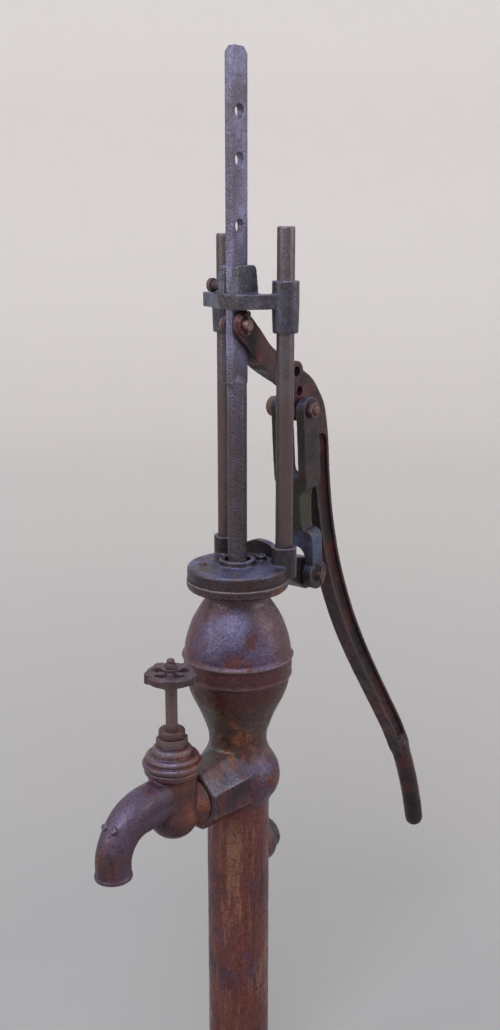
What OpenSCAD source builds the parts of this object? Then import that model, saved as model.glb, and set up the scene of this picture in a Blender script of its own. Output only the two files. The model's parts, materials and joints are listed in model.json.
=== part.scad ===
// Hand well pump with a windmill rod: a cast standard with an air chamber, a cap that carries
// two guide rods and the fulcrum bracket, a crosshead on a flat rod, a lever handle on a
// swinging link, a globe faucet with a spout, and a plunger and foot valve in the standard.
// Origin: centre of the base's underside. +Z up, +X towards the handle, spout towards -X.
// The model is drawn with the handle down, the plunger at the top and the faucet shut.

/* [Base] */
// Diameter of the round foot
base_d = 280; // [260:1:320]
// Thickness of the foot's plate
base_t = 16; // [14:0.5:20]
// Pitch circle of the foundation bolts
base_bolt_pcd = 230; // [215:1:235]
// Diameter of a foundation bolt hole
base_bolt_hole_d = 14; // [11:0.5:16]
// Height of the collar that grips the standard
base_collar_h = 72; // [60:1:90]

/* [Standard] */
// Outside diameter of the straight column
col_d = 101.6; // [98:0.2:104]
// Bore of the straight column
col_bore_d = 88.9; // [88:0.1:89.2]
// Height of the faucet's neck above the ground
neck_z = 650; // [646:1:652]
// Height of the joint under the cap
joint_z = 982; // [982:1:983]
// Diameter of the top flange
flange_d = 160; // [156:1:164]
// Height of the plugged back outlet
back_z = 507; // [490:1:510]

/* [Cap and guides] */
// Diameter of the cap
cap_d = 157; // [152:1:160]
// Diameter of a guide rod
guide_d = 26.7; // [26:0.1:27]
// Height of the near guide rod's top
guide_top_z = 1513; // [1505:1:1520]
// How much shorter the other guide rod is
guide_short = 10; // [0:1:12]
// Guide rods' distance behind the pump's axis
guide_x = 44; // [43:0.5:45]
// Guide rods' distance to each side
guide_y = 57; // [56:0.5:58]

/* [Lever] */
// Height of the handle's pin in the flat rod
pin_z = 1372; // [1371:0.5:1373]
// Fulcrum bolt's distance behind the axis
fulcrum_x = 150; // [149:0.5:151]
// Height of the fulcrum bolt
fulcrum_z = 1229; // [1228:0.5:1230]
// Link pivot's distance behind the axis
pivot_x = 171; // [170:0.5:172]
// Height of the link's lower pivot
pivot_z = 951; // [950:0.5:952]
// Diameter of the pins and of the fulcrum bolt
pin_d = 16; // [15:0.1:16]
// Extra width, as a diameter, of the cap lug's hole round the lower pivot pin
pivot_play = 16; // [15.5:0.1:17]

/* [Rod] */
// Width of the flat rod
bar_w = 38; // [36:0.5:38]
// Thickness of the flat rod
bar_t = 12.7; // [12:0.1:12.7]
// Height of the flat rod's top
bar_top_z = 1758; // [1740:1:1780]
// Diameter of the windmill rod holes
bar_hole_d = 19; // [16:0.5:20]
// Diameter of the round plunger rod
rod_d = 30; // [28:0.5:30]

/* [Faucet] */
// Distance of the valve stem in front of the axis
valve_x = 160; // [159:0.5:161]
// Height of the spout's straight run
spout_z = 688; // [686:0.5:689]
// Outside diameter of the spout
spout_d = 53; // [51:0.5:53]
// Bore of the spout
spout_bore_d = 36; // [32:0.5:36]
// Distance of the spout's mouth in front of the valve stem
spout_reach = 132; // [130:0.5:134]
// Radius of the spout's bend
bend_r = 70; // [68:0.5:72]
// Height of the spout's mouth
mouth_z = 600; // [590:1:604]
// Diameter of the handwheel
wheel_d = 80; // [76:1:84]

/* [Cylinder] */
// Bore of the pump cylinder
cyl_bore_d = 76.2; // [76:0.1:76.4]
// Top of the cylinder liner
cyl_top_z = 430; // [425:1:440]
// Underside of the plunger with the handle down
plunger_z = 300; // [296:1:304]
// Diameter of the threaded hole for the drop pipe
drop_pipe_d = 39; // [36:0.5:42]

/* [Hidden] */
$fn = 64;

col_r = col_d / 2;
bore_r = col_bore_d / 2;
seat_z = 12;
wall = 7;
gasket_t = 2;
cap_z0 = joint_z + gasket_t;
cap_z1 = cap_z0 + 19;
run = 0.09;
pin_r = pin_d / 2;
screw_r = 3.2;
screw_ring_r = 54;
lug_r = 27;
lug_y = 18;
prong_in = 19;
prong_out = 37;
prong_r = 24;
stuffing_r = 20.5;
liner_z0 = 62;
valve_rest_gap = 0.1;
cheek_y = 17.5;
link_in = 16;
link_out = 33;
body_flange_z = 715;
diaphragm_z0 = 664;
diaphragm_z1 = 672;
stem_r = 9;
stem_tip_r = 6;
disc_z = 679;
bonnet_z = 725.5;
nut_z = 757.5;
wheel_z = 866;
mouth_x = -valve_x - spout_reach;
cyl_r = cyl_bore_d / 2;
barrel_r = 22;
plunger_top = plunger_z + 46;

iron = "#4b4450";
rust = "#6b4034";
steel = "#6f6566";
brass = "#8f7440";
leather = "#6a4a32";
rubber = "#262424";

// A smooth curve through stations: the value at t between points k and k+1
function blend(a, b, c, d, t) =
    0.5 * ((2 * b) + (c - a) * t + (2 * a - 5 * b + 4 * c - d) * t * t
        + (3 * b - a - 3 * c + d) * t * t * t);
function at(p, k) = p[max(0, min(len(p) - 1, k))];
function smooth(p, steps) = concat(
    [for (k = [0 : len(p) - 2]) for (s = [0 : steps - 1])
        blend(at(p, k - 1), p[k], p[k + 1], at(p, k + 2), s / steps)],
    [p[len(p) - 1]]);

// The two edges of a band with its own width at each station [x, z, width]
function tangent(c, k) = [
    at(c, k + 1)[0] - at(c, k - 1)[0], at(c, k + 1)[1] - at(c, k - 1)[1]];
function edge(c, side, inset) = [for (k = [0 : len(c) - 1])
    let (v = tangent(c, k), w = (c[k][2] / 2 - inset) * side / norm(v))
    [c[k][0] - v[1] * w, c[k][1] + v[0] * w]];
function reversed(p) = [for (k = [len(p) - 1 : -1 : 0]) p[k]];

module rod_y(x, z, r, y0, y1) {
    translate([x, y1, z]) rotate([90, 0, 0]) cylinder(r = r, h = y1 - y0);
}

module rod_x(x0, x1, y, z, r) {
    translate([x0, y, z]) rotate([0, 90, 0]) cylinder(r = r, h = x1 - x0);
}

module rod_z(x, y, r, z0, z1) {
    translate([x, y, z0]) cylinder(r = r, h = z1 - z0);
}

// A flat outline drawn in x and z, given thickness from y0 to y1
module slab_y(y0, y1) {
    translate([0, y1, 0]) rotate([90, 0, 0]) linear_extrude(y1 - y0) children();
}

module ring(r_in, r_out, z0, z1) {
    difference() {
        rod_z(0, 0, r_out, z0, z1);
        rod_z(0, 0, r_in, z0 - 1, z1 + 1);
    }
}

// ---- Base and standard ----

base_hub_r = 68;

module base_flange() color(rust) difference() {
    rotate_extrude($fn = 96) polygon([
        [38, 0], [base_d / 2 - 2, 0], [base_d / 2, 2], [base_d / 2, base_t - 3],
        [base_d / 2 - 3, base_t], [base_hub_r + 12, base_t + 3], [base_hub_r + 2, base_t + 10],
        [base_hub_r - 2, base_collar_h - 5], [base_hub_r - 6, base_collar_h],
        [col_r, base_collar_h], [col_r, seat_z], [38, seat_z]]);
    for (a = [45 : 90 : 315]) rotate([0, 0, a])
        rod_z(base_bolt_pcd / 2, 0, base_bolt_hole_d / 2, -1, base_t + 1);
    for (a = [0, 180]) rotate([0, 0, a + 90]) rod_x(col_r - 1, base_hub_r + 5, 0, 52, 6);
}

module base_set_screws() color(steel) for (a = [90, 270]) rotate([0, 0, a]) {
    rod_x(col_r, base_hub_r + 6, 0, 52, 6);
    translate([base_hub_r + 6, 0, 52]) rotate([0, 90, 0])
        translate([-8, -8, 0]) cube([16, 16, 12]);
}

// Outside of the standard above the straight column, as [radius, height]
shoulder = [
    [col_r, 606], [57, 618], [65.4, 632], [68.6, 650], [64, 671], [52.4, 691], [47, 707],
    [47, 722], [51, 737], [62, 765], [76, 795], [84.6, 826], [86, 848], [82.5, 880],
    [72.5, 912], [60, 934], [51.5, 948], [50, 956]];
// Inside of the same stretch, a wall's thickness smaller
hollow = [for (p = smooth(shoulder, 4)) [max(p[0] - wall, 39), p[1]]];

module standard() color(rust) difference() {
    union() {
        rotate_extrude($fn = 96) polygon(concat(
            [[0, seat_z], [col_r, seat_z]], smooth(shoulder, 4),
            [[52, joint_z - 19], [flange_d / 2 - 6, joint_z - 17], [flange_d / 2 - 1, joint_z - 13],
             [flange_d / 2, joint_z - 9], [flange_d / 2, joint_z], [0, joint_z]]));
        for (bead = [[83.6, 828], [85.6, 857]]) rotate_extrude($fn = 96)
            translate(bead) circle(r = 3.4, $fn = 24);
        translate([0, 0, neck_z]) rotate([0, -90, 0]) rotate([0, 0, 22.5])
            cylinder(r1 = 63, r2 = 51, h = 114, $fn = 8);
        translate([-114, 0, neck_z]) rotate([0, -90, 0]) rotate([0, 0, 22.5])
            cylinder(r1 = 51, r2 = 46, h = 4, $fn = 8);
        rod_x(40, 56, 0, back_z, 38);
        translate([56, 0, back_z]) rotate([0, 90, 0]) cylinder(r1 = 38, r2 = 29, h = 10);
        rod_x(66, 80, 0, back_z, 29);
    }
    rotate_extrude($fn = 96) polygon(concat(
        [[0, 0], [bore_r, 0], [bore_r, 590]], hollow, [[43, joint_z + 1], [0, joint_z + 1]]));
    rod_x(-119, 0, 0, neck_z, 15);
    rod_x(-119, -96, 0, neck_z, 22);
    rod_x(0, 81, 0, back_z, 15.9);
    screw_places() rod_z(0, 0, screw_r, joint_z - 20, joint_z + 1);
}

// Cap screws: two in front, and two behind that stay clear of the guide rod bosses
module screw_places() {
    for (a = [125, 219, -33, 33]) rotate([0, 0, a]) translate([screw_ring_r, 0, 0]) children();
}

module suction_bush() color(brass) difference() {
    rod_z(0, 0, bore_r, seat_z, 48);
    rod_z(0, 0, drop_pipe_d / 2, seat_z - 1, 49);
}

module cylinder_liner() color(brass) ring(cyl_r, bore_r, liner_z0, cyl_top_z);

module foot_valve_seat() color(brass) difference() {
    union() {
        rod_z(0, 0, bore_r, 48, liner_z0);
        rod_z(0, 0, 22, liner_z0, liner_z0 + 4);
    }
    rod_z(0, 0, 4.2, 40, 80);
    for (a = [0 : 90 : 270]) rotate([0, 0, a]) rod_z(11.5, 0, 5.5, 40, 80);
}

foot_z = liner_z0 + 4 + valve_rest_gap;

module foot_valve_leather() color(leather) ring(4.1, 20, foot_z, foot_z + 3);

module foot_valve_poppet() color(brass) {
    rod_z(0, 0, 20, foot_z + 3, foot_z + 8);
    rod_z(0, 0, 9, foot_z + 8, foot_z + 16);
    rod_z(0, 0, 4.1, 49, foot_z + 3);
}

module back_outlet_plug() color("#2a2426") difference() {
    rod_x(58, 78, 0, back_z, 15.9);
    translate([68, -7, back_z - 7]) cube([14, 14, 14]);
}

// ---- Cap, stuffing box and guides ----

module cap_gasket() color("#3a3030") difference() {
    ring(43, cap_d / 2, joint_z, cap_z0);
    screw_places() rod_z(0, 0, screw_r, joint_z - 1, cap_z0 + 1);
}

// Bracket behind the cap, ending in the lug between the link's prongs. Its hole is wider than
// the pin, which swings free in it.
module bracket_outline() {
    difference() {
        union() {
            polygon([[56, cap_z0], [84, cap_z0], [92, 966], [pivot_x - 12, pivot_z - lug_r + 3],
                [pivot_x, pivot_z], [pivot_x, pivot_z + lug_r], [140, cap_z0 + 2],
                [96, cap_z1 - 6], [76, cap_z1 + 6], [68, cap_z1 + 14], [56, cap_z1 + 14]]);
            translate([pivot_x, pivot_z]) circle(r = lug_r);
        }
        translate([pivot_x, pivot_z]) circle(r = pin_r + pivot_play / 2);
    }
}

module top_cap() color(iron) difference() {
    union() {
        rotate_extrude($fn = 96) polygon([
            [0, cap_z0], [cap_d / 2, cap_z0], [cap_d / 2, cap_z1 - 4], [cap_d / 2 - 1.5, cap_z1 - 1],
            [cap_d / 2 - 4, cap_z1], [30, cap_z1], [29, cap_z1 + 2], [28.5, cap_z1 + 9],
            [27, cap_z1 + 10], [0, cap_z1 + 10]]);
        rod_z(0, 0, 27, 946, cap_z0);
        for (s = [-1, 1]) rod_z(guide_x, s * guide_y, 20, cap_z0, cap_z1 + 29);
        rod_z(41, -15, 8.5, cap_z1 - 1, cap_z1 + 9);
        slab_y(-lug_y, lug_y) bracket_outline();
        translate([56, -guide_y, cap_z0]) cube([12, 2 * guide_y, 26]);
        intersection() {
            rod_x(56, 68, 0, cap_z1 - 23, 50);
            translate([50, -45, cap_z0]) cube([30, 90, 60]);
        }
    }
    rod_z(0, 0, stuffing_r, 956, cap_z1 + 11);
    rod_z(0, 0, rod_d / 2 + run, 940, 960);
    for (s = [-1, 1]) rod_z(guide_x, s * guide_y, guide_d / 2, cap_z0 + 3, cap_z1 + 30);
    rod_z(41, -15, 5, cap_z1 - 6, cap_z1 + 10);
    screw_places() rod_z(0, 0, screw_r, cap_z0 - 1, cap_z1 + 1);
    screw_places() rod_z(0, 0, 6, cap_z1 - 3, cap_z1 + 1);
}

module cap_screws() color("#2f2b30") screw_places() difference() {
    union() {
        rod_z(0, 0, screw_r, joint_z - 16, cap_z1 - 3);
        rod_z(0, 0, 6, cap_z1 - 3, cap_z1 + 1.5);
    }
    translate([-7, -0.9, cap_z1]) cube([14, 1.8, 2]);
}

module rod_packing() color("#9a8b6a") ring(rod_d / 2 + run, stuffing_r, 956, 990);

module gland_bush() color(brass) ring(rod_d / 2 + run, stuffing_r, 990, 1001);

module guide_rod(side, top) color(steel) translate([guide_x, side * guide_y, 0])
    rotate_extrude() polygon([
        [0, cap_z0 + 3], [guide_d / 2, cap_z0 + 3], [guide_d / 2, top - 1.5],
        [guide_d / 2 - 1.5, top], [0, top]]);

module guide_rod_left() guide_rod(1, guide_top_z - guide_short);

module guide_rod_right() guide_rod(-1, guide_top_z);

// A pin along y with a round head at its +y end and a cross hole near its -y end
module headed_pin(x, z, grip, tail) difference() {
    union() {
        rod_y(x, z, pin_r, -tail, grip);
        rod_y(x, z, pin_r + 4, grip, grip + 6);
    }
    translate([x, -tail + 3.5, z - 20]) cylinder(r = 1.6, h = 40, $fn = 24);
}

// A split pin through that cross hole, with an eye above and bent legs below
module cotter(x, z, tail) translate([x, -tail + 3.5, z]) {
    translate([0, 0, -pin_r - 6]) cylinder(r = 1.6, h = 2 * pin_r + 12, $fn = 24);
    translate([0, 0, pin_r + 8]) rotate([90, 0, 0]) rotate_extrude($fn = 32)
        translate([3.4, 0]) circle(r = 1.4, $fn = 16);
    translate([0, 0, -pin_r - 5]) rotate([0, 60, 0]) cylinder(r = 1.3, h = 8, $fn = 16);
}

module pivot_pin() color(steel) headed_pin(pivot_x, pivot_z, prong_out, prong_out + 9);

module pivot_cotter() color(steel) cotter(pivot_x, pivot_z, prong_out + 9);

// ---- Faucet ----

module at_valve() translate([-valve_x, 0, 0]) children();

// A quarter bend from the valve to the mouth, with a straight run at each end
module spout_shape(r, bend, grow) {
    drop = spout_z - bend_r;
    rod_x(mouth_x + bend, -valve_x, 0, drop + bend, r);
    translate([mouth_x + bend, 0, drop]) rotate([90, 0, 0]) rotate([0, 0, 90])
        rotate_extrude(angle = 90, $fn = 96) translate([bend, 0]) circle(r = r);
    rod_z(mouth_x, 0, r, mouth_z - grow, drop);
}

module faucet_body() color(rust) difference() {
    union() {
        at_valve() translate([0, 0, 646]) sphere(r = 39, $fn = 64);
        at_valve() rod_z(0, 0, 37, 646, body_flange_z);
        at_valve() rotate_extrude() polygon([
            [0, body_flange_z - 4], [38, body_flange_z - 4], [42, body_flange_z],
            [43, body_flange_z + 2], [43, body_flange_z + 9], [0, body_flange_z + 9]]);
        translate([-118, 0, neck_z]) rotate([0, -90, 0]) cylinder(r1 = 40.5, r2 = 35, h = 24);
        rod_x(-118, -96, 0, neck_z, 22);
        spout_shape(spout_d / 2, bend_r, 0);
        spout_shape(spout_d / 2, bend_r - 16, 0);
        rod_z(mouth_x, 0, spout_d / 2 + 1.5, mouth_z, mouth_z + 6);
        hook_stubs();
    }
    at_valve() intersection() {
        translate([0, 0, 646]) sphere(r = 32, $fn = 64);
        translate([-40, -40, 600]) cube([80, 80, diaphragm_z0 - 600]);
    }
    at_valve() rod_z(0, 0, 30, diaphragm_z1, 730);
    at_valve() rod_z(0, 0, 17, 660, 680);
    rod_x(-160, -95, 0, neck_z, 13);
    difference() {
        spout_shape(spout_bore_d / 2, bend_r, 1);
        at_valve() rod_z(0, 0, 25, 600, 730);
    }
}

// Broken pail hook: two stubs on the outer side of the bend
hook_angle = 141;

module hook_stubs() for (y = [-9, 9])
    translate([mouth_x + bend_r, y, spout_z - bend_r]) rotate([0, 90 - hook_angle, 0])
        translate([0, 0, bend_r + spout_d / 2 - 6]) cylinder(r = 5, h = 10, $fn = 24);

module valve_seat() color(brass) at_valve() {
    ring(13, 17, 660, diaphragm_z1);
    ring(13, 20, diaphragm_z1, 675);
}

module disc_washer() color(rubber) at_valve() ring(4, 18, 675 + valve_rest_gap, disc_z);

module disc_screw() color(brass) at_valve() {
    rod_z(0, 0, 4, 672, disc_z + 6);
    rod_z(0, 0, 7, 671, 675 + valve_rest_gap);
}

module valve_disc() color(brass) at_valve() difference() {
    union() {
        rod_z(0, 0, 19, disc_z, disc_z + 6);
        rod_z(0, 0, 12, disc_z + 6, disc_z + 20);
    }
    rod_z(0, 0, stem_tip_r + run, disc_z + 7, disc_z + 21);
    rod_z(0, 0, 4, disc_z - 1, disc_z + 6);
}

module valve_stem() color(steel) at_valve() {
    rod_z(0, 0, stem_tip_r, disc_z + 7.4, disc_z + 20.4);
    rod_z(0, 0, stem_r, disc_z + 20.4, wheel_z - 4);
    rod_z(0, 0, stem_tip_r, wheel_z - 4, wheel_z + 27);
    translate([0, 0, wheel_z + 27]) cylinder(r1 = stem_tip_r, r2 = 4.5, h = 2);
}

module bonnet_gasket() color(rubber) at_valve() ring(30, 42.5, body_flange_z + 9, bonnet_z);

module bonnet() color(rust) at_valve() difference() {
    rotate_extrude() polygon([
        [0, bonnet_z], [43.5, bonnet_z], [45.5, bonnet_z + 2.5], [45.5, bonnet_z + 7],
        [43.5, bonnet_z + 9.5], [39.5, bonnet_z + 10], [39.5, bonnet_z + 12],
        [41, bonnet_z + 13], [41, bonnet_z + 16], [38, bonnet_z + 19.5],
        [31, bonnet_z + 20], [31, bonnet_z + 23], [30, bonnet_z + 28],
        [27.5, bonnet_z + 31.5], [16.5, nut_z], [16.5, 771], [0, 771]]);
    rod_z(0, 0, stem_r + run, 720, 780);
    rod_z(0, 0, 13.5, 744, 780);
}

module stem_packing() color("#9a8b6a") at_valve() ring(stem_r + run, 13.5, 744, 769);

module gland_nut() color(rust) at_valve() difference() {
    union() {
        translate([0, 0, nut_z]) rotate([0, 0, 20])
            cylinder(r = 42 / sqrt(3), h = 14.5, $fn = 6);
        rotate_extrude() polygon([
            [0, nut_z + 14.5], [19.5, nut_z + 14.5], [20, nut_z + 16], [20, nut_z + 24.5],
            [18.5, nut_z + 27], [0, nut_z + 27]]);
    }
    rod_z(0, 0, 16.5, nut_z - 1, 771);
    rod_z(0, 0, stem_r + run, 770, 790);
}

wheel_lobes = 5;
rim_z0 = wheel_z - 5;
rim_z1 = wheel_z + 10;

module handwheel() color(rust) at_valve() difference() {
    union() {
        rotate_extrude() polygon([
            [27, rim_z0 + 3], [30, rim_z0], [35, rim_z0], [38, rim_z0 + 3],
            [38, rim_z1 - 3], [35, rim_z1], [30, rim_z1], [27, rim_z1 - 3]]);
        for (k = [0 : wheel_lobes - 1]) rotate([0, 0, k * 360 / wheel_lobes]) {
            rod_z(wheel_d / 2 - 9, 0, 9.5, rim_z0, rim_z1);
            translate([0, -4.5, wheel_z]) cube([wheel_d / 2 - 10, 9, 9]);
        }
        rod_z(0, 0, 11, wheel_z - 4, wheel_z + 15);
    }
    rod_z(0, 0, stem_tip_r, wheel_z - 5, wheel_z + 16);
}

module wheel_nut() color(steel) at_valve() difference() {
    union() {
        translate([0, 0, wheel_z + 15]) cylinder(r = 9.5, h = 6, $fn = 6);
        translate([0, 0, wheel_z + 21]) cylinder(r1 = 8, r2 = 6.8, h = 2);
    }
    rod_z(0, 0, stem_tip_r, wheel_z + 14, wheel_z + 24);
}

// ---- Rod, crosshead and plunger ----

flat_z = 1284;
bar_holes = [1513, 1605, 1671];

module pump_rod() color(steel) difference() {
    union() {
        rod_z(0, 0, rod_d / 2, 520, flat_z + 4);
        translate([0, 0, flat_z + 4]) cylinder(r1 = rod_d / 2, r2 = 9, h = 10);
        slab_y(-bar_t / 2, bar_t / 2) polygon([
            [-10, flat_z - 14], [10, flat_z - 14], [bar_w / 2, flat_z + 2],
            [bar_w / 2, bar_top_z - 9], [bar_w / 2 - 9, bar_top_z], [-bar_w / 2 + 9, bar_top_z],
            [-bar_w / 2, bar_top_z - 9], [-bar_w / 2, flat_z + 2]]);
    }
    for (z = bar_holes) rod_y(0, z, bar_hole_d / 2, -10, 10);
    rod_y(0, pin_z, pin_r, -10, 10);
}

arm_z0 = pin_z + 22.5;
arm_z1 = arm_z0 + 22;
hub_top_z = 1458;
cheek_thick = 18;
set_screw_z = 1428;

// Crosshead seen from above: a hub that tapers into two arms with rounded ends
module crosshead_plan() {
    polygon(concat(
        [[-22, -cheek_thick], [-22, cheek_thick], [-14, cheek_thick + 12]],
        arc([22, guide_y + 13], 10, 190, 20),
        [[guide_x, guide_y], [30, 24], [30, -24], [guide_x, -guide_y],
         [guide_x - 6, -guide_y - 18], [guide_x - 19, -guide_y], [-14, -cheek_thick - 12]]));
}

module crosshead() color(iron) difference() {
    union() {
        translate([0, 0, arm_z0]) linear_extrude(arm_z1 - arm_z0) crosshead_plan();
        slab_y(-cheek_thick, cheek_thick) polygon([
            [-22, arm_z1 - 2], [30, arm_z1 - 2], [29, arm_z1 + 10], [25, hub_top_z - 6],
            [20, hub_top_z], [-17, hub_top_z], [-20, hub_top_z - 3]]);
        for (s = [-1, 1]) translate([guide_x, s * guide_y, 1357 - 2 * s])
            rotate_extrude() polygon([
                [0, 0], [18.5, 0], [19.5, 3], [20.5, 32], [20.5, 75], [19.5, 77], [0, 77]]);
        rod_y(0, set_screw_z, 8.5, bar_t / 2, 31);
    }
    for (s = [-1, 1]) rod_z(guide_x, s * guide_y, guide_d / 2 + run, 1350, 1440);
    translate([-30, -bar_t / 2, arm_z1]) cube([30 + bar_w / 2, bar_t, 80]);
    translate([-bar_w / 2, -bar_t / 2, arm_z0 - 1]) cube([bar_w, bar_t, 80]);
    rod_y(0, set_screw_z, 5, bar_t / 2, 32);
}

module crosshead_set_screw() color(steel) {
    rod_y(0, set_screw_z, 5, bar_t / 2, 31);
    rod_y(0, set_screw_z, 7.5, 31, 43);
    rod_y(0, set_screw_z, 10.5, 43, 50);
}

module handle_pin() color(steel) headed_pin(0, pin_z, cheek_y + 0.4, cheek_y + 8);

module handle_cotter() color(steel) cotter(0, pin_z, cheek_y + 8);

module rod_coupling() color(steel) difference() {
    rod_z(0, 0, 20, 495, 545);
    rod_z(0, 0, rod_d / 2, 520, 546);
    rod_z(0, 0, 9, 494, 521);
}

module plunger_stem() color(steel) rod_z(0, 0, 9, plunger_top + 20, 520);

module plunger_body() color(brass) difference() {
    union() {
        rod_z(0, 0, 31, plunger_z, plunger_z + 6);
        rod_z(0, 0, barrel_r, plunger_z + 6, plunger_top);
        for (a = [0 : 120 : 240]) rotate([0, 0, a])
            translate([20, -4, plunger_top - 2]) cube([8, 8, 25]);
        rod_z(0, 0, 28, plunger_top + 22, plunger_top + 32);
        rod_z(0, 0, 14, plunger_top + 32, plunger_top + 42);
    }
    rod_z(0, 0, 14, plunger_z - 1, plunger_top + 1);
    rod_z(0, 0, 9, plunger_top + 20, plunger_top + 43);
}

// A leather cup around the plunger's barrel, its lip turned up against the cylinder
module cup_leather(z) color(leather) rotate_extrude() polygon([
    [barrel_r, z], [cyl_r - 3, z], [cyl_r - run, z + 3], [cyl_r - run, z + 14],
    [cyl_r - 3, z + 14], [cyl_r - 4, z + 4], [barrel_r, z + 4]]);

module cup_leather_lower() cup_leather(plunger_z + 6);

module cup_leather_upper() cup_leather(plunger_z + 24);

module cup_spacer() color(brass) ring(barrel_r, 32, plunger_z + 10, plunger_z + 24);

module cup_clamp_ring() color(brass) ring(barrel_r, 31, plunger_z + 28, plunger_z + 36);

module plunger_poppet() color(brass) {
    rod_z(0, 0, 18, plunger_top + valve_rest_gap, plunger_top + 6);
    for (a = [0, 90]) rotate([0, 0, a]) translate([-13.5, -1.5, plunger_top - 16])
        cube([27, 3, 16.5]);
}

// ---- Handle and link ----

// Centre line of the handle from its eye to the end of the grip, as [x, z, width]
handle_path = [
    [0, pin_z, 41], [30, 1345, 40], [61, 1318, 38], [113, 1291, 37], [159, 1264, 44],
    [181, 1240, 47], [197, 1214, 47], [208, 1165, 45], [214, 1113, 43], [223, 1058, 41],
    [236, 1002, 40], [255, 942, 39], [282, 880, 38], [310, 825, 37], [338, 779, 36],
    [370, 730, 35], [405, 680, 34], [444, 625, 34], [484, 569, 34], [507, 533, 34],
    [524, 503, 34], [536, 481, 24]];
pocket_start = 7;
pocket_end = 19;
handle_curve = smooth(handle_path, 3);
pocket_curve = smooth([for (k = [pocket_start : pocket_end]) handle_path[k]], 3);
pocket_edge = 6;
grip_r = 18.3;
grip_bend_r = 811;
grip_centre = [-191.2, 121.5];
grip_a0 = 13.6;
grip_a1 = 28.1;
handle_t = 28;
web_t = 12;
arm_t = 29;

module handle_outline(curve, inset)
    polygon(concat(edge(curve, 1, inset), reversed(edge(curve, -1, inset))));

// The hollow in each side of the blade, with rounded ends
module pocket_outline() {
    handle_outline(pocket_curve, pocket_edge);
    for (k = [pocket_start, pocket_end])
        translate([handle_path[k][0], handle_path[k][1]])
            circle(r = handle_path[k][2] / 2 - pocket_edge, $fn = 32);
}

// The round grip: a slightly bent rod with a round end
module grip() translate([grip_centre[0], 0, grip_centre[1]]) rotate([90, 0, 0]) {
    rotate([0, 0, grip_a0]) rotate_extrude(angle = grip_a1 - grip_a0, $fn = 360)
        translate([grip_bend_r, 0]) circle(r = grip_r);
    for (a = [grip_a0, grip_a1])
        translate(grip_bend_r * [cos(a), sin(a), 0]) sphere(r = grip_r - 0.2);
}

module handle() color("#4a3330") difference() {
    union() {
        slab_y(-handle_t / 2, handle_t / 2) handle_outline(handle_curve, 0);
        slab_y(-arm_t / 2, arm_t / 2) union() {
            translate([0, pin_z]) circle(r = 20.5);
            handle_outline(smooth([for (k = [0 : 3]) handle_path[k]], 3), 0);
            translate([fulcrum_x, fulcrum_z]) circle(r = 20);
            translate([136, 1290]) circle(r = 17.5);
            polygon([[119, 1284], [130, 1229], [170, 1229], [156, 1284]]);
        }
        slab_y(-cheek_y, cheek_y) translate([0, pin_z]) circle(r = 17);
        grip();
    }
    rod_y(0, pin_z, pin_r + run, -30, 30);
    rod_y(fulcrum_x, fulcrum_z, pin_r + run, -30, 30);
    rod_y(136, 1290, pin_r, -30, 30);
    rod_y(144, 1258, pin_r, -30, 30);
    slab_y(-bar_t / 2 - 1, bar_t / 2 + 1) union() {
        translate([0, pin_z]) circle(r = 30);
        translate([-30, pin_z - 60]) square([51, 100]);
    }
    for (y0 = [web_t / 2, -handle_t]) slab_y(y0, y0 + handle_t - web_t / 2) pocket_outline();
}

link_tilt = atan2(pivot_x - fulcrum_x, fulcrum_z - pivot_z);
link_len = norm([pivot_x - fulcrum_x, fulcrum_z - pivot_z]);
boss_r = 21;
upper_crotch = 99;
lower_crotch = link_len - 30;
leg_foot_z = -115;
shoulder_z = -215;
shank_y = 16;

function arc(c, r, a0, a1, n = 10) = [for (k = [0 : n]) let (a = a0 + (a1 - a0) * k / n)
    [c[0] + r * cos(a), c[1] + r * sin(a)]];

function mirrored(pts) = [for (p = pts) [-p[0], p[1]]];

// The link's outer edge on one side: leg, shank, prong
link_edge = concat(
    [[link_out, 24]],
    arc([link_out - 22, leg_foot_z], 22, 0, -70),
    [[shank_y, leg_foot_z - 33], [shank_y, shoulder_z + 27]],
    arc([prong_out - 16, shoulder_z], 16, 100, 0),
    [[prong_out, -link_len - 30]]);

// The link seen from the front, y across: two legs above, a shank, two prongs below
module link_front() polygon(concat(
    link_edge,
    [[prong_in, -link_len - 30]],
    arc([0, -lower_crotch], prong_in, 0, 180),
    [[-prong_in, -link_len - 30]],
    reversed(mirrored(link_edge)),
    [[-link_in, 24]],
    arc([0, -upper_crotch], link_in, 180, 360),
    [[link_in, 24]]));

// The link seen from the side, x across: it tapers from the fulcrum boss to the prongs
module link_side() polygon(concat(
    arc([0, 0], boss_r, -18, 198, 20),
    [[-20, -upper_crotch], [-17, leg_foot_z - 33], [-14, shoulder_z]],
    arc([0, -link_len], prong_r, 125, 415, 24),
    [[14, shoulder_z], [17, leg_foot_z - 33], [20, -upper_crotch]]));

// The link in its own frame: fulcrum bolt at the origin, lower pivot straight below
module fulcrum_link() color(iron) translate([fulcrum_x, 0, fulcrum_z]) rotate([0, -link_tilt, 0])
difference() {
    intersection() {
        translate([-40, 0, 0]) rotate([90, 0, 90]) linear_extrude(80) link_front();
        slab_y(-50, 50) link_side();
    }
    rod_y(0, 0, pin_r, -40, 40);
    rod_y(0, -link_len, pin_r, -40, 40);
}

module fulcrum_bolt() color(steel) {
    rod_y(fulcrum_x, fulcrum_z, pin_r, -42, link_out);
    translate([fulcrum_x, -42, fulcrum_z]) rotate([90, 0, 0])
        cylinder(r1 = pin_r, r2 = pin_r - 2, h = 4);
    rod_y(fulcrum_x, fulcrum_z, 16.5, link_out, link_out + 12);
    translate([fulcrum_x, link_out + 16, fulcrum_z]) rotate([90, 0, 0])
        cylinder(r1 = 12, r2 = 16.5, h = 4);
}

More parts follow.
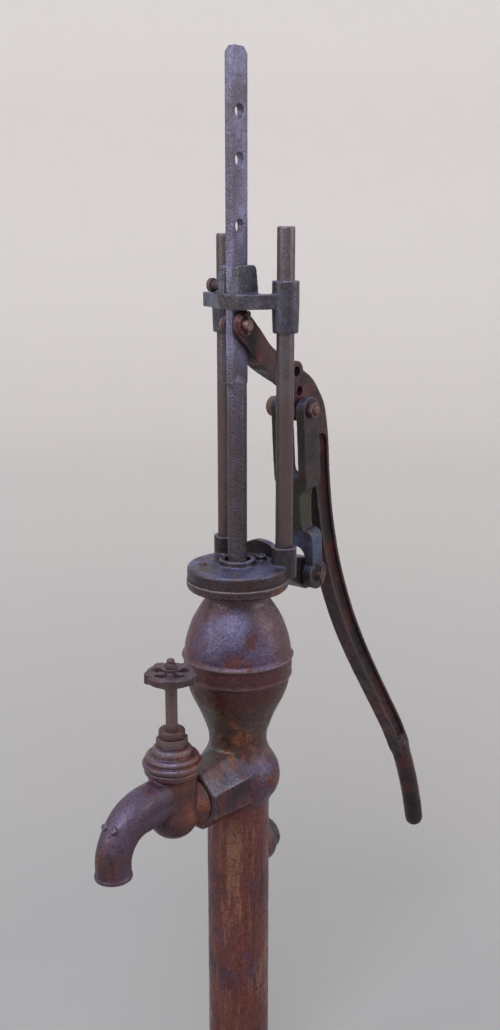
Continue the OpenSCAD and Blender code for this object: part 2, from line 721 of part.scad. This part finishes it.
module fulcrum_nut() color(steel) difference() {
    translate([fulcrum_x, -link_out, fulcrum_z]) rotate([90, 0, 0])
        cylinder(r = 23 / sqrt(3), h = 8, $fn = 6);
    rod_y(fulcrum_x, fulcrum_z, pin_r, -60, 0);
}

base_flange();
base_set_screws();
standard();
suction_bush();
cylinder_liner();
foot_valve_seat();
foot_valve_leather();
foot_valve_poppet();
cap_gasket();
top_cap();
cap_screws();
gland_bush();
rod_packing();
guide_rod_left();
guide_rod_right();
pivot_pin();
pivot_cotter();
back_outlet_plug();
faucet_body();
bonnet_gasket();
bonnet();
stem_packing();
gland_nut();
valve_seat();
valve_disc();
disc_washer();
disc_screw();
valve_stem();
handwheel();
wheel_nut();
pump_rod();
crosshead();
crosshead_set_screw();
handle_pin();
handle_cotter();
rod_coupling();
plunger_stem();
plunger_body();
cup_leather_upper();
cup_leather_lower();
cup_spacer();
cup_clamp_ring();
plunger_poppet();
handle();
fulcrum_link();
fulcrum_bolt();
fulcrum_nut();
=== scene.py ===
"""Looks of the hand well pump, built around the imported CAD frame. Metres, +Z up."""

import json
import math

import bmesh
import bpy
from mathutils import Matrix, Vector


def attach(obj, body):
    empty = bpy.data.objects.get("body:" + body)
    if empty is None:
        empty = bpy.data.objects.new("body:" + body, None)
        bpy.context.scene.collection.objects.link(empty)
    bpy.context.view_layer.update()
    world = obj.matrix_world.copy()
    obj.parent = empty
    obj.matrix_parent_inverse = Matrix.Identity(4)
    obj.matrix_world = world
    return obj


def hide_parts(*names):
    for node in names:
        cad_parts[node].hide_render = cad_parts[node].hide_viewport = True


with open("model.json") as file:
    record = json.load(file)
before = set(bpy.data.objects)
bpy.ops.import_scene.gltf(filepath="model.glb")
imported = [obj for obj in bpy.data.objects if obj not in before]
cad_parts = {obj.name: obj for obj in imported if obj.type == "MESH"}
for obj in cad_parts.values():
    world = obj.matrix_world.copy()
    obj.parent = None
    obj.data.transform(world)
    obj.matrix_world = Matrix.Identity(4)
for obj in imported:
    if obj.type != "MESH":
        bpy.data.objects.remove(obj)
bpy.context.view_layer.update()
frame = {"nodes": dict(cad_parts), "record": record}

BODIES = frame["record"]["behaviour"]["bodies"]
BODY_OF = {node: body for body, nodes in BODIES.items() for node in nodes}
SLOT_OF = {part["node"]: part["material_slot"] for part in frame["record"]["subparts"]}

# Sizes of the mesh work, in metres, and angles in degrees.
WELD_DISTANCE = 1e-6
FLAT_ANGLE = 1.0
EDGE_ANGLE = 35
BEVEL_SEGMENTS = 2
MELT_FACTOR = 0.5
LUMP_SIZE = 0.03
PIT_SIZE = 0.0045
PIT_DEPTH = 0.0005
LUMP_DEPTH = 0.0008
BALANCED = 0.35
INWARD_ONLY = 0.0


# ---- Materials ----

COOL_GLINT = (0.86, 0.88, 1.0, 1.0)


class Graph:
    """A material's node tree, with short calls for the nodes that the materials share."""

    def __init__(self, name, metallic, specular=0.5):
        self.material = bpy.data.materials.new(name)
        self.material.use_nodes = True
        self.tree = self.material.node_tree
        self.shader = self.tree.nodes["Principled BSDF"]
        self.shader.inputs["Metallic"].default_value = metallic
        self.shader.inputs["Specular IOR Level"].default_value = specular
        self.shader.inputs["Specular Tint"].default_value = COOL_GLINT
        self.place = self.node("ShaderNodeTexCoord").outputs["Object"]

    def node(self, kind, **values):
        made = self.tree.nodes.new(kind)
        for key, value in values.items():
            setattr(made, key, value)
        return made

    def put(self, value, socket):
        if isinstance(value, bpy.types.NodeSocket):
            self.tree.links.new(value, socket)
        else:
            socket.default_value = value

    def stretched(self, scale):
        made = self.node("ShaderNodeMapping")
        self.put(self.place, made.inputs["Vector"])
        made.inputs["Scale"].default_value = scale
        return made.outputs["Vector"]

    def noise(self, scale, detail=4.0, rough=0.55, at=None, distort=0.0):
        made = self.node("ShaderNodeTexNoise")
        self.put(at or self.place, made.inputs["Vector"])
        made.inputs["Scale"].default_value = scale
        made.inputs["Detail"].default_value = detail
        made.inputs["Roughness"].default_value = rough
        made.inputs["Distortion"].default_value = distort
        return made.outputs["Fac"]

    def cells(self, scale):
        made = self.node("ShaderNodeTexVoronoi", feature="SMOOTH_F1")
        self.put(self.place, made.inputs["Vector"])
        made.inputs["Scale"].default_value = scale
        return made.outputs["Distance"]

    def span(self, value, low, high, out_low=0.0, out_high=1.0):
        made = self.node("ShaderNodeMapRange", interpolation_type="SMOOTHSTEP")
        self.put(value, made.inputs["Value"])
        made.inputs["From Min"].default_value = low
        made.inputs["From Max"].default_value = high
        made.inputs["To Min"].default_value = out_low
        made.inputs["To Max"].default_value = out_high
        return made.outputs["Result"]

    def linear(self, value, low, high):
        made = self.node("ShaderNodeMapRange")
        self.put(value, made.inputs["Value"])
        made.inputs["From Min"].default_value = low
        made.inputs["From Max"].default_value = high
        return made.outputs["Result"]

    def calc(self, operation, a, b):
        made = self.node("ShaderNodeMath", operation=operation)
        self.put(a, made.inputs[0])
        self.put(b, made.inputs[1])
        return made.outputs["Value"]

    def both(self, a, b):
        return self.calc("MULTIPLY", a, b)

    def mix(self, share, a, b):
        made = self.node("ShaderNodeMix", data_type="RGBA")
        self.put(share, made.inputs["Factor"])
        self.put(a if isinstance(a, bpy.types.NodeSocket) else (*a, 1.0), made.inputs["A"])
        self.put(b if isinstance(b, bpy.types.NodeSocket) else (*b, 1.0), made.inputs["B"])
        return made.outputs["Result"]

    def along(self, axis):
        made = self.node("ShaderNodeSeparateXYZ")
        self.put(self.place, made.inputs["Vector"])
        return made.outputs[axis]

    def facing_up(self):
        made = self.node("ShaderNodeSeparateXYZ")
        self.put(self.node("ShaderNodeNewGeometry").outputs["Normal"], made.inputs["Vector"])
        return made.outputs["Z"]

    def edges(self, low=0.5, high=0.56):
        return self.span(self.node("ShaderNodeNewGeometry").outputs["Pointiness"], low, high)

    def bump(self, height, distance, under=None):
        made = self.node("ShaderNodeBump")
        made.inputs["Distance"].default_value = distance
        made.inputs["Strength"].default_value = 1.0
        self.put(height, made.inputs["Height"])
        if under:
            self.put(under, made.inputs["Normal"])
        return made.outputs["Normal"]

    def finish(self, color, roughness, normal):
        self.put(color, self.shader.inputs["Base Color"])
        self.put(roughness, self.shader.inputs["Roughness"])
        self.put(normal, self.shader.inputs["Normal"])
        return self.material


ORANGE = (0.25, 0.075, 0.02)
DEEP_RUST = (0.10, 0.026, 0.012)
PALE_WEAR = (0.22, 0.18, 0.18)
# Painted sky reflection, laid on faces that look up.
SKY_REFLECTION_TINT = (0.085, 0.085, 0.17)
SPOT_RUST = (0.13, 0.045, 0.02)


def casting(name, dark, mid, red, rust_share, shine, metallic=0.3, extra=None, painted_sky_sheen=0.5,
            wear=0.5):
    """Old cast iron: mottled patina, rust bloom in patches, worn edges, a pitted skin, and a
    painted sky reflection on faces that look up.
    """
    g = Graph(name, metallic)
    soot = tuple(0.3 * c for c in dark)
    color = g.mix(g.span(g.noise(6, 7, 0.66, distort=0.8), 0.42, 0.58), dark, mid)
    color = g.mix(g.span(g.noise(13, 8, 0.7, distort=1.0), 0.47, 0.60), color, red)
    # Painted sky reflection: a bluish tint on faces that look up, in patches.
    up = g.both(g.span(g.facing_up(), 0.05, 0.8), g.span(g.noise(16, 6), 0.35, 0.6))
    color = g.mix(g.both(up, painted_sky_sheen), color, SKY_REFLECTION_TINT)
    if extra:
        color = extra(g, color)
    streaks = g.noise(1.0, 6, 0.7, at=g.stretched((55, 55, 5)), distort=0.3)
    color = g.mix(g.span(streaks, 0.54, 0.64, 0, 0.7), color, red)
    runs = g.noise(1.0, 6, 0.7, at=g.stretched((42, 42, 4)), distort=0.5)
    color = g.mix(g.span(runs, 0.42, 0.30, 0, 0.75), color, soot)
    bloom = g.calc("ADD", g.noise(22, 10, 0.76), g.both(g.noise(5, 3), 0.7))
    patches = g.span(bloom, 0.98 - rust_share, 1.06 - rust_share, 0, 0.9)
    color = g.mix(patches, color, g.mix(g.span(g.noise(120, 6, 0.75), 0.4, 0.6), DEEP_RUST, ORANGE))
    grain = g.noise(240, 6, 0.75)
    color = g.mix(g.span(grain, 0.46, 0.62, 0, 0.6), color, soot)
    dust = g.both(g.span(g.noise(150, 7, 0.8), 0.60, 0.72),
                  g.span(g.noise(14, 3), 0.45, 0.6))
    color = g.mix(g.both(dust, 0.7), color, PALE_WEAR)
    color = g.mix(g.both(g.edges(), wear), color, PALE_WEAR)
    pits = g.span(g.cells(420), 0.15, 0.5)
    normal = g.bump(g.noise(700, 4, 0.7), 0.0002)
    normal = g.bump(pits, 0.0002, normal)
    normal = g.bump(g.noise(85, 5, 0.6), 0.0013, normal)
    rough = g.calc("ADD", g.span(g.noise(45, 6, 0.65), 0.35, 0.65, shine, shine + 0.26),
                   g.both(patches, 0.3))
    return g.finish(color, rough, normal)


# Each pair of places, in metres, is where a tone starts and where it is full.
CHAMBER_BEAD = (0.855, 0.865)
CHAMBER_FOOT = (0.855, 0.89)
CHAMBER_TOP = (0.952, 0.92)
FLANGE_FOOT = (0.955, 0.966)
NECK_ROOT = (-0.04, -0.07)
NECK_FOOT = (0.625, 0.66)
NECK_TOP = (0.74, 0.72)
WAIST_FOOT = (0.67, 0.72)
WAIST_TOP = (0.82, 0.77)
SHADE_FOOT = (0.77, 0.80)
SHADE_TOP = (0.866, 0.85)
COLUMN_TOP = (0.65, 0.59)
OUTLET_ROOT = (0.045, 0.055)
OUTLET_FOOT = (0.44, 0.46)
OUTLET_TOP = (0.57, 0.55)
BULB_FRONT = (-0.884, -0.463)
# Painted sky sheen for the chamber's front.
BULB_PAINTED_SHEEN = (0.085, 0.078, 0.15)
BULB_RED = (0.085, 0.04, 0.036)
# Painted sky reflection for the neck's upper faces.
NECK_PAINTED_SHEEN = (0.1, 0.09, 0.125)
WAIST_BROWN = (0.07, 0.033, 0.02)
WAIST_GREEN = (0.065, 0.08, 0.04)
WAIST_OCHRE = (0.22, 0.085, 0.03)
COLUMN_RED = (0.135, 0.036, 0.026)
STREAK_PALE = (0.24, 0.115, 0.065)
STREAK_DARK = (0.022, 0.011, 0.015)
SHADED_RUST = (0.06, 0.015, 0.009)
OUTLET_GREY = (0.038, 0.036, 0.038)
FLANGE_DARK = (0.027, 0.016, 0.014)


def column_tones(g, color):
    """Painted sky sheen: bluish on the chamber's front and on the neck's upper faces; green at the
    waist, red and streaked below.
    """
    z = g.along("Z")
    front = g.calc("ADD", g.both(g.along("X"), BULB_FRONT[0]),
                   g.both(g.along("Y"), BULB_FRONT[1]))
    bulb = g.both(g.span(z, *CHAMBER_FOOT), g.span(z, *CHAMBER_TOP))
    aside = g.both(g.span(z, *CHAMBER_BEAD), g.span(front, 0.065, 0.035, 0, 0.75))
    color = g.mix(aside, color, BULB_RED)
    # Painted highlight: a bluish sky sheen on the chamber's front, the side turned towards the
    # camera.
    bulb = g.both(bulb, g.span(front, 0.04, 0.075))
    painted_sky_sheen = g.both(bulb, g.span(g.noise(8, 7, 0.7, distort=0.5), 0.42, 0.55))
    color = g.mix(g.both(painted_sky_sheen, 0.8), color, BULB_PAINTED_SHEEN)
    # Painted sky reflection: a pale bluish tint on the neck's faces that look up.
    ahead = g.both(g.span(g.along("X"), *NECK_ROOT), g.span(z, *NECK_FOOT))
    neck = g.both(ahead, g.span(g.noise(14, 7, 0.7, distort=0.5), 0.4, 0.55))
    neck = g.both(neck, g.span(g.facing_up(), 0.2, 0.6))
    color = g.mix(g.both(neck, g.span(z, *NECK_TOP, 0, 0.75)), color, NECK_PAINTED_SHEEN)
    waist = g.both(g.span(z, *WAIST_FOOT), g.span(z, *WAIST_TOP))
    green = g.both(waist, g.span(g.noise(16, 7, 0.7, distort=0.6), 0.48, 0.56))
    ochre = g.both(waist, g.span(g.noise(22, 8, 0.75, distort=0.4), 0.52, 0.60))
    color = g.mix(g.both(waist, 0.75), color, WAIST_BROWN)
    color = g.mix(g.both(green, 0.7), color, WAIST_GREEN)
    color = g.mix(g.both(ochre, 0.8), color, WAIST_OCHRE)
    lower = g.span(z, *COLUMN_TOP)
    column = g.both(lower, g.span(g.noise(9, 7), 0.38, 0.56, 0.3, 0.9))
    color = g.mix(column, color, COLUMN_RED)
    stripe = g.noise(1.0, 8, 0.75, at=g.stretched((34, 34, 5)), distort=0.7)
    color = g.mix(g.both(lower, g.span(stripe, 0.52, 0.62, 0, 0.75)), color, STREAK_PALE)
    color = g.mix(g.both(lower, g.span(stripe, 0.44, 0.34, 0, 0.75)), color, STREAK_DARK)
    below = g.both(g.span(z, *SHADE_FOOT), g.span(z, *SHADE_TOP))
    color = g.mix(g.both(below, 0.8), color, SHADED_RUST)
    back = g.both(g.span(g.along("X"), *OUTLET_ROOT), g.span(z, *OUTLET_TOP))
    back = g.both(back, g.span(z, *OUTLET_FOOT, 0, 0.8))
    color = g.mix(back, color, OUTLET_GREY)
    return g.mix(g.span(z, *FLANGE_FOOT, 0, 0.9), color, FLANGE_DARK)


SPOUT_ROOT = (-0.185, -0.21)
VALVE_SIDE = (-0.19, -0.16)
SPOUT_PURPLE = (0.052, 0.032, 0.062)
VALVE_BROWN = (0.06, 0.017, 0.011)
VALVE_RUST = (0.18, 0.05, 0.015)


def faucet_tones(g, color):
    """A purple sheen on the spout, orange rust on the valve's body."""
    x = g.along("X")
    spout = g.both(g.span(x, *SPOUT_ROOT), g.span(g.noise(12, 5), 0.35, 0.55))
    color = g.mix(g.both(spout, 0.8), color, SPOUT_PURPLE)
    body = g.both(g.span(x, *VALVE_SIDE), g.span(g.noise(30, 7, 0.7), 0.42, 0.56))
    color = g.mix(g.both(g.span(x, *VALVE_SIDE), 0.8), color, VALVE_BROWN)
    return g.mix(g.both(body, 0.7), color, VALVE_RUST)


SHANK_FOOT = (1.02, 1.05)
SHANK_TOP = (1.12, 1.08)
ARCH_FOOT = (0.955, 0.985)
ARCH_TOP = (1.035, 1.01)
SHANK_GREEN = (0.04, 0.045, 0.02)
ARCH_BLUE = (0.06, 0.08, 0.15)


def link_tones(g, color):
    """A green tint on the shank, a bluish lower arch."""
    z = g.along("Z")
    shank = g.both(g.span(z, *SHANK_FOOT), g.span(z, *SHANK_TOP))
    color = g.mix(g.both(shank, 0.6), color, SHANK_GREEN)
    arch = g.both(g.span(z, *ARCH_FOOT), g.span(z, *ARCH_TOP))
    return g.mix(g.both(arch, 0.75), color, ARCH_BLUE)


WORN_BAND = (1.32, 1.22)


def bar_steel(name, base, brown, shine, pitted, metallic=0.6, low=None):
    """Rolled or turned bar: dull skin with lengthwise streaks and fine pitting."""
    g = Graph(name, metallic)
    color = g.mix(g.span(g.noise(14, 6, 0.65), 0.40, 0.60), base, brown)
    streaks = g.noise(1.0, 5, 0.6, at=g.stretched((160, 160, 9)))
    color = g.mix(g.span(streaks, 0.45, 0.68, 0, 0.7), color, brown)
    if low:
        lower = g.span(g.along("Z"), *WORN_BAND)
        color = g.mix(g.both(lower, 0.85), color, low)
    rust = g.span(g.calc("ADD", g.noise(40, 8, 0.72), g.both(g.noise(9, 2), 0.4)),
                  0.84, 0.98, 0, 0.7)
    color = g.mix(rust, color, SPOT_RUST)
    spots = g.span(g.noise(230, 5, 0.75), 0.56, 0.70, 0, 0.5)
    color = g.mix(spots, color, tuple(0.25 * c for c in brown))
    color = g.mix(g.both(g.edges(0.5, 0.6), 0.5), color, PALE_WEAR)
    normal = g.bump(g.noise(600, 4, 0.7), 0.0002)
    normal = g.bump(g.span(g.cells(260), 0.1, 0.45), 0.0004 * pitted, normal)
    normal = g.bump(g.noise(120, 4, 0.6), 0.0006 * pitted, normal)
    rough = g.span(g.noise(60, 5, 0.6), 0.3, 0.7, shine, shine + 0.2)
    return g.finish(color, rough, normal)


def plain_stuff(name, base, other, scale, roughness, metallic=0.0):
    """Inner pieces: bronze, leather, packing and rubber, each with its own grain."""
    g = Graph(name, metallic)
    color = g.mix(g.span(g.noise(scale, 6, 0.6), 0.35, 0.65), base, other)
    normal = g.bump(g.noise(scale * 14, 4, 0.6), 0.0004)
    rough = g.span(g.noise(scale * 3, 4), 0.3, 0.7, roughness, roughness + 0.18)
    return g.finish(color, rough, normal)


MATERIALS = {
    "standard": casting("rusty_column_iron", (0.024, 0.010, 0.012), (0.07, 0.04, 0.078),
                        (0.085, 0.019, 0.012), -0.02, 0.20, extra=column_tones),
    "faucet": casting("rusty_faucet_iron", (0.03, 0.014, 0.015), (0.075, 0.04, 0.048),
                      (0.075, 0.022, 0.014), -0.08, 0.24, extra=faucet_tones),
    "base": casting("rusty_base_iron", (0.05, 0.03, 0.03), (0.08, 0.05, 0.05),
                    (0.1, 0.035, 0.022), 0.06, 0.45),
    "cap": casting("dark_cap_iron", (0.016, 0.012, 0.013), (0.032, 0.026, 0.032),
                   (0.04, 0.019, 0.017), -0.28, 0.26, 0.45, painted_sky_sheen=0.8, wear=0.3),
    "handle": casting("dark_handle_iron", (0.011, 0.006, 0.005), (0.03, 0.014, 0.013),
                      (0.07, 0.014, 0.012), -0.12, 0.30, painted_sky_sheen=0.25, wear=0.2),
    "link": casting("dark_link_iron", (0.013, 0.009, 0.008), (0.032, 0.021, 0.019),
                    (0.04, 0.018, 0.014), -0.08, 0.32, extra=link_tones, painted_sky_sheen=0.7, wear=0.2),
    # A lighter, bluer copy of the dark cap iron, with a painted highlight and sky reflection on the
    # crosshead.
    "crosshead": casting("crosshead_iron_painted_sheen", (0.035, 0.034, 0.045), (0.085, 0.09, 0.125),
                         (0.048, 0.037, 0.042), -0.25, 0.26, 0.4, painted_sky_sheen=0.8, wear=0.35),
    "rod": bar_steel("worn_rod_steel", (0.075, 0.07, 0.088), (0.048, 0.034, 0.034), 0.30, 0.6,
                     low=(0.055, 0.029, 0.025)),
    "stem": bar_steel("rusty_stem_steel", (0.058, 0.022, 0.021), (0.045, 0.013, 0.01),
                      0.34, 1.0, 0.3),
    "wheel": casting("rusty_wheel_iron", (0.032, 0.019, 0.02), (0.085, 0.058, 0.066),
                     (0.062, 0.025, 0.022), -0.18, 0.3, painted_sky_sheen=0.3, wear=0.3),
    "pitted_rod": bar_steel("pitted_rod_steel", (0.165, 0.158, 0.25), (0.09, 0.08, 0.11),
                            0.34, 1.4, low=(0.048, 0.036, 0.035)),
    "fastener": bar_steel("rusty_fastener_steel", (0.05, 0.019, 0.018), (0.045, 0.012, 0.009),
                          0.36, 1.0, 0.4),
    "dark_screw": bar_steel("dark_screw_steel", (0.03, 0.024, 0.026), (0.05, 0.022, 0.016),
                            0.5, 1.0, 0.4),
    "rusty_pin": bar_steel("orange_pin_steel", (0.12, 0.06, 0.035), (0.09, 0.03, 0.015),
                           0.45, 1.4, 0.2),
    "gasket": plain_stuff("rust_soaked_gasket", (0.016, 0.01, 0.009), (0.035, 0.016, 0.012),
                          60, 0.8),
    "bronze": plain_stuff("old_bronze", (0.32, 0.21, 0.09), (0.2, 0.15, 0.08), 30, 0.35, 0.9),
    "rubber": plain_stuff("old_rubber", (0.03, 0.028, 0.028), (0.05, 0.045, 0.042), 60, 0.7),
    "leather": plain_stuff("oiled_leather", (0.16, 0.085, 0.045), (0.1, 0.05, 0.028), 50, 0.55),
    "packing": plain_stuff("hemp_packing", (0.3, 0.25, 0.16), (0.2, 0.16, 0.1), 120, 0.75),
}

MATERIAL_OF_SLOT = {
    "rusty_casting": "faucet", "dark_casting": "cap", "handle_casting": "handle",
    "worn_steel": "rod", "rusty_fastener": "fastener", "bronze": "bronze",
    "seal_rubber": "rubber", "pump_leather": "leather", "hemp_packing": "packing"}
MATERIAL_OF_NODE = {
    "standard": "standard", "base_flange": "base", "crosshead": "crosshead",
    "pump_rod": "pitted_rod",
    "fulcrum_link": "link", "back_outlet_plug": "dark_screw", "cap_screws": "dark_screw",
    "crosshead_set_screw": "dark_screw", "valve_stem": "stem", "gland_nut": "fastener",
    "handwheel": "wheel",
    "handle_pin": "rusty_pin", "fulcrum_bolt": "rusty_pin", "bonnet_gasket": "gasket",
    "cap_gasket": "gasket"}


def material_for(node):
    return MATERIALS[MATERIAL_OF_NODE.get(node, MATERIAL_OF_SLOT[SLOT_OF[node]])]


# ---- Pieces made from the CAD shapes ----


def own_copy(node, name):
    """A new object with the CAD node's shape, its doubled points welded."""
    source = frame["nodes"][node]
    mesh = source.data.copy()
    mesh.transform(source.matrix_world)
    work = bmesh.new()
    work.from_mesh(mesh)
    bmesh.ops.remove_doubles(work, verts=work.verts, dist=WELD_DISTANCE)
    work.to_mesh(mesh)
    work.free()
    mesh.materials.clear()
    mesh.materials.append(material_for(node))
    made = bpy.data.objects.new(name, mesh)
    bpy.context.scene.collection.objects.link(made)
    return made


def apply_modifiers(made):
    shaped = made.evaluated_get(bpy.context.evaluated_depsgraph_get())
    mesh = bpy.data.meshes.new_from_object(shaped)
    made.modifiers.clear()
    made.data = mesh


def stand_for(made, node):
    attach(made, BODY_OF[node])
    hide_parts(node)


def shade(made, angle=None):
    for face in made.data.polygons:
        face.use_smooth = True
    if angle is not None:
        made.data.set_sharp_from_angle(angle=math.radians(angle))


def clouds(name, size, depth=2):
    made = bpy.data.textures.new(name, "CLOUDS")
    made.noise_scale = size
    made.noise_depth = depth
    return made


LUMPS = clouds("casting_lumps", LUMP_SIZE)
PITS = clouds("casting_pits", PIT_SIZE, 4)


def cast(node, voxel, rounds, pit=PIT_DEPTH, lump=LUMP_DEPTH, neutral=BALANCED):
    """A casting: the CAD shape with its edges melted round and its skin lumpy and pitted.

    Texture values above neutral sink the skin, and values below it raise it a little.
    """
    made = own_copy(node, node + "_casting")
    remesh = made.modifiers.new("skin", "REMESH")
    remesh.mode = "VOXEL"
    remesh.voxel_size = voxel
    melt = made.modifiers.new("melt", "SMOOTH")
    melt.factor = MELT_FACTOR
    melt.iterations = rounds
    for texture, depth in ((LUMPS, lump), (PITS, pit)):
        sink = made.modifiers.new("sink", "DISPLACE")
        sink.texture = texture
        sink.texture_coords = "LOCAL"
        sink.mid_level = neutral
        sink.strength = -depth
    apply_modifiers(made)
    made.data.materials.clear()
    made.data.materials.append(material_for(node))
    shade(made)
    stand_for(made, node)
    return made


def machined(node, width):
    """A turned or forged piece: the CAD shape with small round edges."""
    made = own_copy(node, node + "_finished")
    work = bmesh.new()
    work.from_mesh(made.data)
    bmesh.ops.dissolve_limit(work, angle_limit=math.radians(FLAT_ANGLE), verts=work.verts,
                             edges=work.edges)
    work.to_mesh(made.data)
    work.free()
    bevel = made.modifiers.new("edges", "BEVEL")
    bevel.width = width
    bevel.segments = BEVEL_SEGMENTS
    bevel.limit_method = "ANGLE"
    bevel.angle_limit = math.radians(EDGE_ANGLE)
    apply_modifiers(made)
    shade(made, EDGE_ANGLE)
    stand_for(made, node)
    return made


# Each casting's voxel size, rounds of melting, and where it differs, pit and lump depth and the
# texture value that leaves the skin in place. The base sinks only, so it stays on the floor.
CASTINGS = {
    "standard": (0.0022, 2),
    "base_flange": (0.0025, 3, PIT_DEPTH, LUMP_DEPTH, INWARD_ONLY),
    "top_cap": (0.0014, 2),
    "crosshead": (0.0012, 3), "fulcrum_link": (0.0012, 4), "handle": (0.0013, 4),
    "faucet_body": (0.0014, 3), "handwheel": (0.0008, 2),
    "pump_rod": (0.0011, 2, 0.0002, 0.0003)}
# Each turned or forged piece's bevel width.
MACHINED = {
    "guide_rod_left": 0.0012, "guide_rod_right": 0.0012, "gland_nut": 0.001, "bonnet": 0.0009,
    "wheel_nut": 0.001, "fulcrum_bolt": 0.0012, "fulcrum_nut": 0.0012, "handle_pin": 0.001,
    "pivot_pin": 0.001, "crosshead_set_screw": 0.0015, "base_set_screws": 0.001,
    "valve_stem": 0.0006, "cap_screws": 0.0006, "back_outlet_plug": 0.001}

for node in CASTINGS:
    cast(node, *CASTINGS[node])
for node in MACHINED:
    machined(node, MACHINED[node])
for node, shown in frame["nodes"].items():
    if node not in CASTINGS and node not in MACHINED:
        for slot in shown.material_slots:
            slot.material = material_for(node)


# ---- Stage, light and camera ----

FLOOR_NEAR = (0.285, 0.278, 0.27)
FLOOR_MIDDLE = (0.50, 0.47, 0.445)
FLOOR_FAR = (0.67, 0.633, 0.60)
WALL = (0.79, 0.755, 0.72)
NEAR_REACH = (0.7, 4.0)
FAR_REACH = (4.0, 8.3)
WALL_RISE = (0.4, 3.0)
STAGE_STEPS = 72
COVE_STEPS = 12
VIEW_TURN = math.radians(37.5)
FORWARD = Vector((math.cos(VIEW_TURN), math.sin(VIEW_TURN), 0))
RIGHT = Vector((math.sin(VIEW_TURN), -math.cos(VIEW_TURN), 0))


def make_stage():
    """A pale floor that curves up into a round wall, so that every side's view has a backdrop."""
    g = Graph("stage_paper", 0.0, 0.1)
    flat_place = g.stretched((1.0, 1.0, 0.0))
    reach = g.node("ShaderNodeVectorMath", operation="LENGTH")
    g.put(flat_place, reach.inputs[0])
    reach = reach.outputs["Value"]
    tone = g.mix(g.linear(reach, *NEAR_REACH), FLOOR_NEAR, FLOOR_MIDDLE)
    tone = g.mix(g.linear(reach, *FAR_REACH), tone, FLOOR_FAR)
    tone = g.mix(g.linear(g.along("Z"), *WALL_RISE), tone, WALL)
    g.finish(tone, 0.9, g.bump(g.noise(140, 3), 0.0002))
    flat, cove, top = 6.0, 2.5, 7.5
    turn = [math.pi / 2 * k / COVE_STEPS for k in range(COVE_STEPS + 1)]
    outline = [(0.0, 0.0), (1.5, 0.0), (3.5, 0.0)]
    outline += [(flat + cove * math.sin(a), cove - cove * math.cos(a)) for a in turn]
    outline.append((flat + cove, top))
    work = bmesh.new()
    points = [work.verts.new((r, 0, z)) for r, z in outline]
    lines = [work.edges.new(pair) for pair in zip(points, points[1:])]
    bmesh.ops.spin(work, geom=points + lines, cent=(0, 0, 0), axis=(0, 0, 1),
                   angle=math.tau, steps=STAGE_STEPS, use_merge=True)
    bmesh.ops.remove_doubles(work, verts=work.verts, dist=1e-4)
    mesh = bpy.data.meshes.new("stage_floor")
    work.to_mesh(mesh)
    work.free()
    mesh.materials.append(g.material)
    floor = bpy.data.objects.new("stage_floor", mesh)
    bpy.context.scene.collection.objects.link(floor)
    shade(floor)


def area_light(name, place, target, size, power, color):
    """A round soft panel at place, turned to target."""
    data = bpy.data.lights.new(name, "AREA")
    data.shape = "DISK"
    data.size = size
    data.energy = power
    data.color = color
    lamp = bpy.data.objects.new(name, data)
    lamp.location = place
    lamp.rotation_euler = (Vector(target) - Vector(place)).to_track_quat("-Z", "Y").to_euler()
    bpy.context.scene.collection.objects.link(lamp)


# Each panel's name, place to the right, ahead and above the pump's middle, size, power and colour.
PANELS = (
    ("sky_panel", -0.6, -2.6, 3.4, 2.4, 120, (0.84, 0.86, 1.0)),
    ("left_panel", -3.2, -1.6, 1.6, 2.0, 45, (1.0, 0.97, 0.93)),
    ("right_panel", 3.4, -0.6, 1.2, 2.0, 40, (1.0, 0.95, 0.9)))


def make_light():
    """Cool light from all round, a cool panel above and two warm ones at the sides."""
    world = bpy.data.worlds.new("soft_sky")
    bpy.context.scene.world = world
    world.use_nodes = True
    sky = world.node_tree.nodes["Background"]
    sky.inputs["Color"].default_value = (0.9, 0.93, 1.0, 1)
    sky.inputs["Strength"].default_value = 1.35
    middle = Vector((0, 0, 0.9))
    for name, right, ahead, above, size, power, color in PANELS:
        place = middle + Vector((0, 0, above)) + FORWARD * ahead + RIGHT * right
        area_light(name, place, middle, size, power, color)


def make_camera():
    """The view: from 1.51 m up, at the spout's side of the pump, looking a little down."""
    reach, eye, shift, tilt = 1.718, 1.510, 0.0195, math.radians(14.0)
    data = bpy.data.cameras.new("camera")
    data.sensor_width = 36.0
    data.lens = 40.2
    camera = bpy.data.objects.new("camera", data)
    camera.location = RIGHT * shift - FORWARD * reach + Vector((0, 0, eye))
    ahead = FORWARD * math.cos(tilt) - Vector((0, 0, math.sin(tilt)))
    camera.rotation_euler = ahead.to_track_quat("-Z", "Y").to_euler()
    bpy.context.scene.collection.objects.link(camera)
    bpy.context.scene.camera = camera


make_stage()
make_light()
make_camera()
bpy.context.scene.view_settings.view_transform = "Standard"
